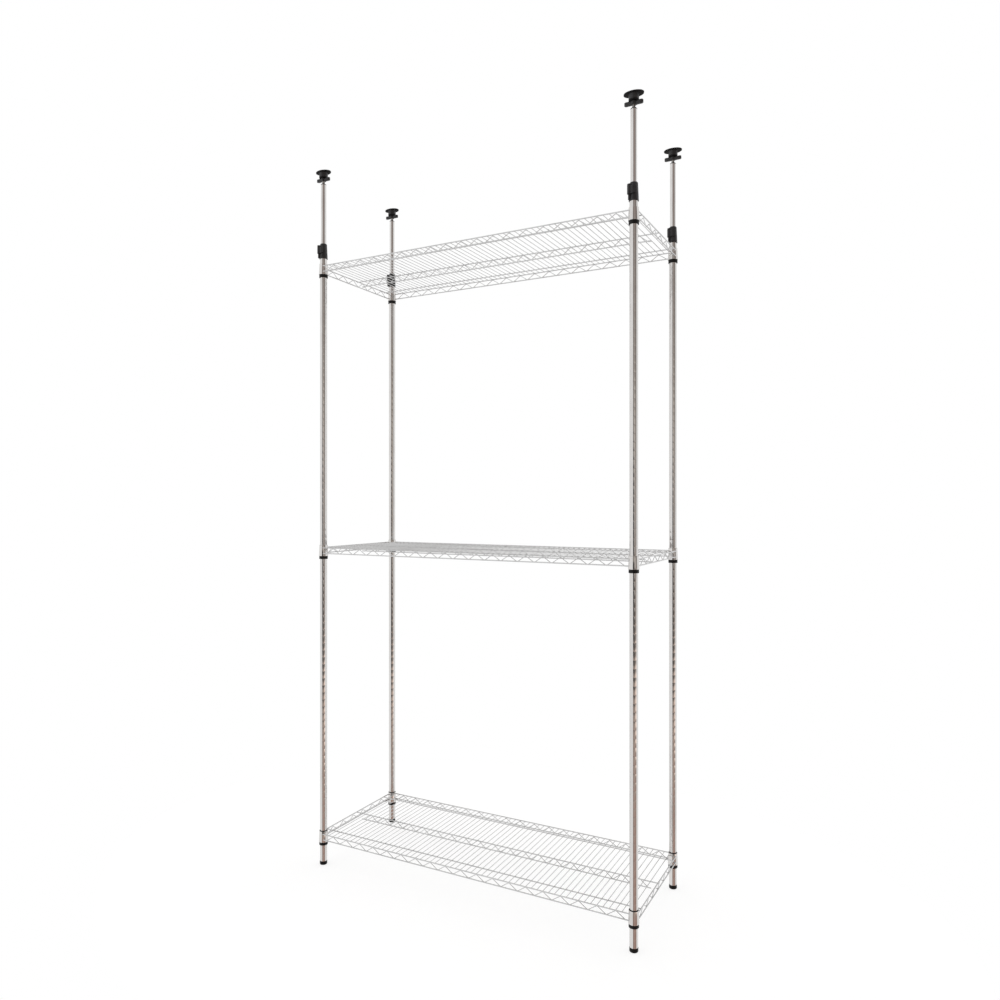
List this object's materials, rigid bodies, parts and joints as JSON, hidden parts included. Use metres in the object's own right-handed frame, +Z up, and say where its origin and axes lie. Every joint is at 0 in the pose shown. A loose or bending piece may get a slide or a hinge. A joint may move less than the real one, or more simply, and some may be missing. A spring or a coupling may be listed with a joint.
{
  "type": "wire shelving unit",
  "caption": "Floor-to-ceiling wire shelving unit: chrome telescoping posts with cam clamps and hand-screwed ceiling pads carry welded wire shelves on tapered sleeves.",
  "frame": {"origin": "on the floor, at the centre of the four feet", "axes": "+Z up along the posts, +X to the right seen from the front, +Y to the back"},
  "size_m": [1.2292, 0.4592, 2.509],
  "materials": {
    "chrome_plate": "bright chrome plate, finely ribbed on the posts",
    "chrome_wire": "bright chrome plate on welded wire",
    "zinc_plate": "zinc plated steel",
    "black_nylon": "satin black moulding",
    "black_rubber": "matt black rubber"
  },
  "bodies": {
    "frame": {"foot_front_left": "black_rubber", "post_front_left": "chrome_plate", "clamp_body_front_left": "black_nylon", "lever_pin_front_left": "zinc_plate", "sleeve_bottom_front_left": "black_nylon", "sleeve_middle_front_left": "black_nylon", "sleeve_top_front_left": "black_nylon", "foot_front_right": "black_rubber", "post_front_right": "chrome_plate", "clamp_body_front_right": "black_nylon", "lever_pin_front_right": "zinc_plate", "sleeve_bottom_front_right": "black_nylon", "sleeve_middle_front_right": "black_nylon", "sleeve_top_front_right": "black_nylon", "foot_back_left": "black_rubber", "post_back_left": "chrome_plate", "clamp_body_back_left": "black_nylon", "lever_pin_back_left": "zinc_plate", "sleeve_bottom_back_left": "black_nylon", "sleeve_middle_back_left": "black_nylon", "sleeve_top_back_left": "black_nylon", "foot_back_right": "black_rubber", "post_back_right": "chrome_plate", "clamp_body_back_right": "black_nylon", "lever_pin_back_right": "zinc_plate", "sleeve_bottom_back_right": "black_nylon", "sleeve_middle_back_right": "black_nylon", "sleeve_top_back_right": "black_nylon", "shelf_bottom": "chrome_wire", "shelf_middle": "chrome_wire", "shelf_top": "chrome_wire"},
    "tube_front_left": {"inner_tube_front_left": "chrome_plate", "guide_bush_front_left": "black_nylon", "end_nut_front_left": "zinc_plate"},
    "lever_front_left": {"clamp_lever_front_left": "black_nylon"},
    "pad_front_left": {"ceiling_pad_front_left": "black_rubber"},
    "jack_front_left": {"hand_screw_front_left": "zinc_plate", "screw_handle_front_left": "black_nylon"},
    "tube_front_right": {"inner_tube_front_right": "chrome_plate", "guide_bush_front_right": "black_nylon", "end_nut_front_right": "zinc_plate"},
    "lever_front_right": {"clamp_lever_front_right": "black_nylon"},
    "pad_front_right": {"ceiling_pad_front_right": "black_rubber"},
    "jack_front_right": {"hand_screw_front_right": "zinc_plate", "screw_handle_front_right": "black_nylon"},
    "tube_back_left": {"inner_tube_back_left": "chrome_plate", "guide_bush_back_left": "black_nylon", "end_nut_back_left": "zinc_plate"},
    "lever_back_left": {"clamp_lever_back_left": "black_nylon"},
    "pad_back_left": {"ceiling_pad_back_left": "black_rubber"},
    "jack_back_left": {"hand_screw_back_left": "zinc_plate", "screw_handle_back_left": "black_nylon"},
    "tube_back_right": {"inner_tube_back_right": "chrome_plate", "guide_bush_back_right": "black_nylon", "end_nut_back_right": "zinc_plate"},
    "lever_back_right": {"clamp_lever_back_right": "black_nylon"},
    "pad_back_right": {"ceiling_pad_back_right": "black_rubber"},
    "jack_back_right": {"hand_screw_back_right": "zinc_plate", "screw_handle_back_right": "black_nylon"}
  },
  "joints": [
    {"name": "tube_slide_front_left", "type": "slide", "parent": "frame", "child": "tube_front_left", "axis": [0, 0, 1], "range_m": [-0.2, 0.15]},
    {"name": "lever_turn_front_left", "type": "hinge", "parent": "frame", "child": "lever_front_left", "pos_m": [-0.59388, -0.22359, 2.223], "axis": [0, 0, -1], "range_deg": [0, 120]},
    {"name": "pad_slide_front_left", "type": "slide", "parent": "tube_front_left", "child": "pad_front_left", "axis": [0, 0, 1], "range_m": [-0.008, 0.024]},
    {"name": "screw_turn_front_left", "type": "hinge", "parent": "pad_front_left", "child": "jack_front_left", "pos_m": [-0.584, -0.21, 2.4805], "axis": [0, 0, 1], "range_deg": [-1500, 4380]},
    {"name": "tube_slide_front_right", "type": "slide", "parent": "frame", "child": "tube_front_right", "axis": [0, 0, 1], "range_m": [-0.2, 0.15]},
    {"name": "lever_turn_front_right", "type": "hinge", "parent": "frame", "child": "lever_front_right", "pos_m": [0.57412, -0.22359, 2.223], "axis": [0, 0, -1], "range_deg": [0, 120]},
    {"name": "pad_slide_front_right", "type": "slide", "parent": "tube_front_right", "child": "pad_front_right", "axis": [0, 0, 1], "range_m": [-0.008, 0.024]},
    {"name": "screw_turn_front_right", "type": "hinge", "parent": "pad_front_right", "child": "jack_front_right", "pos_m": [0.584, -0.21, 2.4805], "axis": [0, 0, 1], "range_deg": [-1500, 4380]},
    {"name": "tube_slide_back_left", "type": "slide", "parent": "frame", "child": "tube_back_left", "axis": [0, 0, 1], "range_m": [-0.2, 0.15]},
    {"name": "lever_turn_back_left", "type": "hinge", "parent": "frame", "child": "lever_back_left", "pos_m": [-0.59388, 0.19641, 2.223], "axis": [0, 0, -1], "range_deg": [0, 120]},
    {"name": "pad_slide_back_left", "type": "slide", "parent": "tube_back_left", "child": "pad_back_left", "axis": [0, 0, 1], "range_m": [-0.008, 0.024]},
    {"name": "screw_turn_back_left", "type": "hinge", "parent": "pad_back_left", "child": "jack_back_left", "pos_m": [-0.584, 0.21, 2.4805], "axis": [0, 0, 1], "range_deg": [-1500, 4380]},
    {"name": "tube_slide_back_right", "type": "slide", "parent": "frame", "child": "tube_back_right", "axis": [0, 0, 1], "range_m": [-0.2, 0.15]},
    {"name": "lever_turn_back_right", "type": "hinge", "parent": "frame", "child": "lever_back_right", "pos_m": [0.57412, 0.19641, 2.223], "axis": [0, 0, -1], "range_deg": [0, 120]},
    {"name": "pad_slide_back_right", "type": "slide", "parent": "tube_back_right", "child": "pad_back_right", "axis": [0, 0, 1], "range_m": [-0.008, 0.024]},
    {"name": "screw_turn_back_right", "type": "hinge", "parent": "pad_back_right", "child": "jack_back_right", "pos_m": [0.584, 0.21, 2.4805], "axis": [0, 0, 1], "range_deg": [-1500, 4380]}
  ],
  "couplings": [
    {"joint": "screw_turn_front_left", "follows": "pad_slide_front_left", "rad_per_m": 3141.6},
    {"joint": "screw_turn_front_right", "follows": "pad_slide_front_right", "rad_per_m": 3141.6},
    {"joint": "screw_turn_back_left", "follows": "pad_slide_back_left", "rad_per_m": 3141.6},
    {"joint": "screw_turn_back_right", "follows": "pad_slide_back_right", "rad_per_m": 3141.6}
  ]
}
